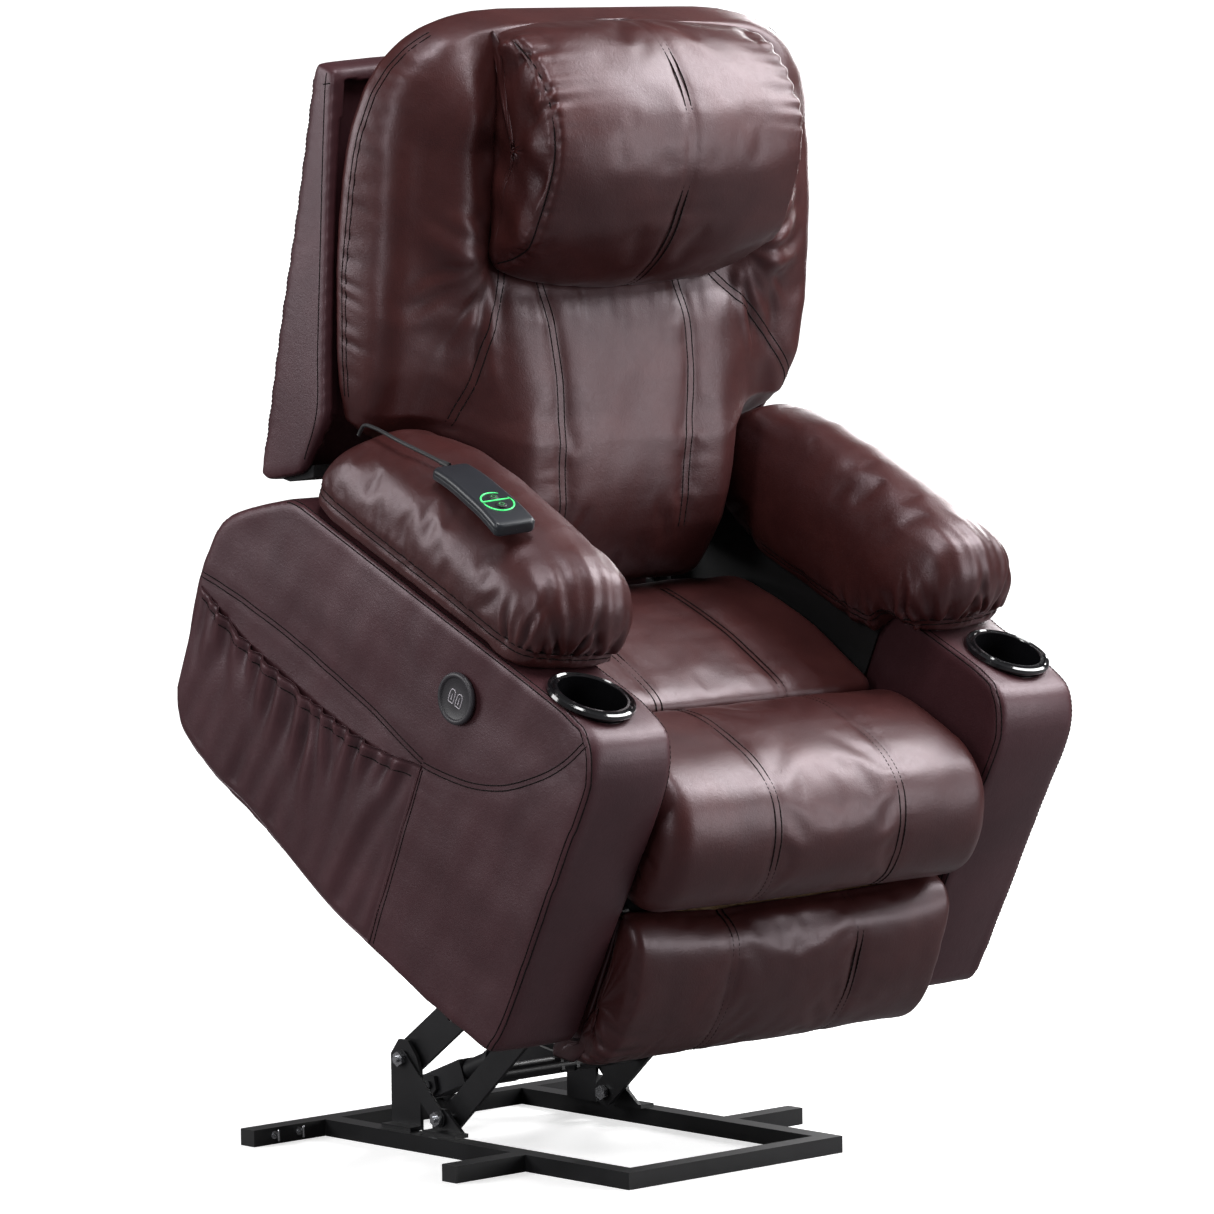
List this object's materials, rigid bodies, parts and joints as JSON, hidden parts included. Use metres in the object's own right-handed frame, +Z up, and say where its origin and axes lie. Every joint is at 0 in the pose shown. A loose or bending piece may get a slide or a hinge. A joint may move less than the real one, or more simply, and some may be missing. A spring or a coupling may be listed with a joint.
{
  "type": "lift recliner chair",
  "caption": "Padded leather recliner on a powered four-link lift base, shown raised and tilted forward, with cup holders, side pocket and corded handset",
  "frame": {"origin": "on the floor, under the middle of the whole chair at full lift", "axes": "+Z up, the chair faces -Y, +X is the sitter's left"},
  "size_m": [0.812, 0.776, 1.3971],
  "materials": {
    "frame_black_steel": "black powder coat, semi-gloss",
    "black_plastic": "moulded black plastic",
    "zinc_hardware": "bright zinc plate",
    "spring_steel": "bare spring wire",
    "actuator_plastic": "black housing plastic",
    "actuator_steel": "drawn steel tube",
    "frame_timber": "raw pine and plywood",
    "burgundy_leather": "semi-gloss bonded leather, dark reddish brown",
    "burgundy_panel_leather": "semi-gloss bonded leather, flatter panels",
    "black_cloth": "black lining cloth",
    "cup_gloss": "high-gloss black plastic",
    "port_plastic": "soft-touch dark grey plastic",
    "handset_plastic": "satin dark grey plastic",
    "green_glow": "backlit green light guide",
    "cable_rubber": "black cable sheath"
  },
  "bodies": {
    "base": {"base_frame": "frame_black_steel", "rail_end_caps": "black_plastic", "pivot_posts": "frame_black_steel", "pivot_brackets": "frame_black_steel", "brace_bars": "zinc_hardware", "base_pivot_bolts": "zinc_hardware", "cable_hooks": "zinc_hardware", "actuator_tail_bracket": "frame_black_steel"},
    "front_links": {"front_lift_links": "frame_black_steel", "link_cross_tube": "frame_black_steel"},
    "rear_links": {"rear_lift_links": "frame_black_steel"},
    "actuator_body": {"actuator_housing": "actuator_plastic", "actuator_motor": "actuator_plastic"},
    "actuator_ram": {"actuator_rod": "actuator_steel"},
    "seat": {"seat_rails": "frame_timber", "seat_cross_tubes": "frame_black_steel", "mechanism_side_plates": "frame_black_steel", "upper_pivot_bolts": "zinc_hardware", "seat_springs": "spring_steel", "seat_cushion": "burgundy_leather", "seat_front_cushion": "burgundy_leather", "right_arm_frame": "frame_timber", "left_arm_frame": "frame_timber", "right_arm_cover": "burgundy_panel_leather", "left_arm_cover": "burgundy_panel_leather", "right_arm_pad": "burgundy_leather", "left_arm_pad": "burgundy_leather", "side_pocket": "burgundy_panel_leather", "right_cup_holder": "cup_gloss", "left_cup_holder": "cup_gloss", "usb_port": "port_plastic", "handset_body": "handset_plastic", "handset_ring": "green_glow", "handset_cable": "cable_rubber", "rear_panel": "burgundy_panel_leather", "control_box": "black_plastic", "recline_hinge_plates": "frame_black_steel", "recline_hinge_pins": "zinc_hardware", "footrest_mount_plates": "frame_black_steel", "footrest_pivot_pins": "zinc_hardware"},
    "raise_button": {"button_up": "handset_plastic"},
    "lower_button": {"button_down": "handset_plastic"},
    "backrest": {"back_frame": "frame_timber", "back_hinge_plates": "frame_black_steel", "back_shell": "burgundy_panel_leather", "back_lining": "black_cloth", "back_cushion": "burgundy_leather", "right_back_wing": "burgundy_leather", "left_back_wing": "burgundy_leather", "headrest_pillow": "burgundy_leather"},
    "footrest_swing": {"footrest_swing_links": "frame_black_steel"},
    "footrest_carrier": {"footrest_carrier_links": "frame_black_steel"},
    "footrest": {"footrest_hinge_plates": "frame_black_steel", "footrest_board": "frame_timber", "footrest_pad": "burgundy_leather"}
  },
  "joints": [
    {"name": "lift", "type": "hinge", "parent": "base", "child": "front_links", "pos_m": [0, 0.17371, 0.04], "axis": [1, 0, 0], "range_deg": [0, 42.69]},
    {"name": "rear_link_swing", "type": "hinge", "parent": "base", "child": "rear_links", "pos_m": [0, 0.24271, 0.108], "axis": [1, 0, 0], "range_deg": [-0.01, 43.5]},
    {"name": "chair_tilt", "type": "hinge", "parent": "front_links", "child": "seat", "pos_m": [0, -0.05815, 0.24877], "axis": [1, 0, 0], "range_deg": [-68.5, 0.01]},
    {"name": "actuator_swing", "type": "hinge", "parent": "base", "child": "actuator_body", "pos_m": [0, 0.34371, 0.048], "axis": [1, 0, 0], "range_deg": [-0.01, 8.6]},
    {"name": "actuator_extend", "type": "slide", "parent": "actuator_body", "child": "actuator_ram", "axis": [0, -0.9309, 0.3653], "range_m": [-0.0001, 0.0462]},
    {"name": "recline", "type": "hinge", "parent": "seat", "child": "backrest", "pos_m": [0, 0.18648, 0.69364], "axis": [-1, 0, 0], "range_deg": [0, 45]},
    {"name": "footrest_raise", "type": "hinge", "parent": "seat", "child": "footrest_swing", "pos_m": [0, -0.17579, 0.37023], "axis": [-1, 0, 0], "range_deg": [0, 88]},
    {"name": "footrest_carrier_turn", "type": "hinge", "parent": "footrest_swing", "child": "footrest_carrier", "pos_m": [0, -0.10394, 0.21616], "axis": [1, 0, 0], "range_deg": [-0.01, 135]},
    {"name": "footrest_level", "type": "hinge", "parent": "footrest_carrier", "child": "footrest", "pos_m": [0, -0.24805, 0.34537], "axis": [-1, 0, 0], "range_deg": [-0.01, 135]},
    {"name": "raise_press", "type": "slide", "parent": "seat", "child": "raise_button", "axis": [0.1363, 0.3884, -0.9113], "range_m": [0, 0.0008], "stiffness_N_per_m": 800},
    {"name": "lower_press", "type": "slide", "parent": "seat", "child": "lower_button", "axis": [0.1363, 0.3884, -0.9113], "range_m": [0, 0.0008], "stiffness_N_per_m": 800}
  ],
  "couplings": [
    {"joint": "rear_link_swing", "follows": "lift", "ratio": 0.99783},
    {"joint": "chair_tilt", "follows": "lift", "ratio": -1.5855},
    {"joint": "actuator_swing", "follows": "lift", "ratio": 0.17655},
    {"joint": "actuator_extend", "follows": "lift", "m_per_rad": 0.060659},
    {"joint": "footrest_carrier_turn", "follows": "footrest_raise", "ratio": 1.5284},
    {"joint": "footrest_level", "follows": "footrest_raise", "ratio": 1.5284}
  ]
}
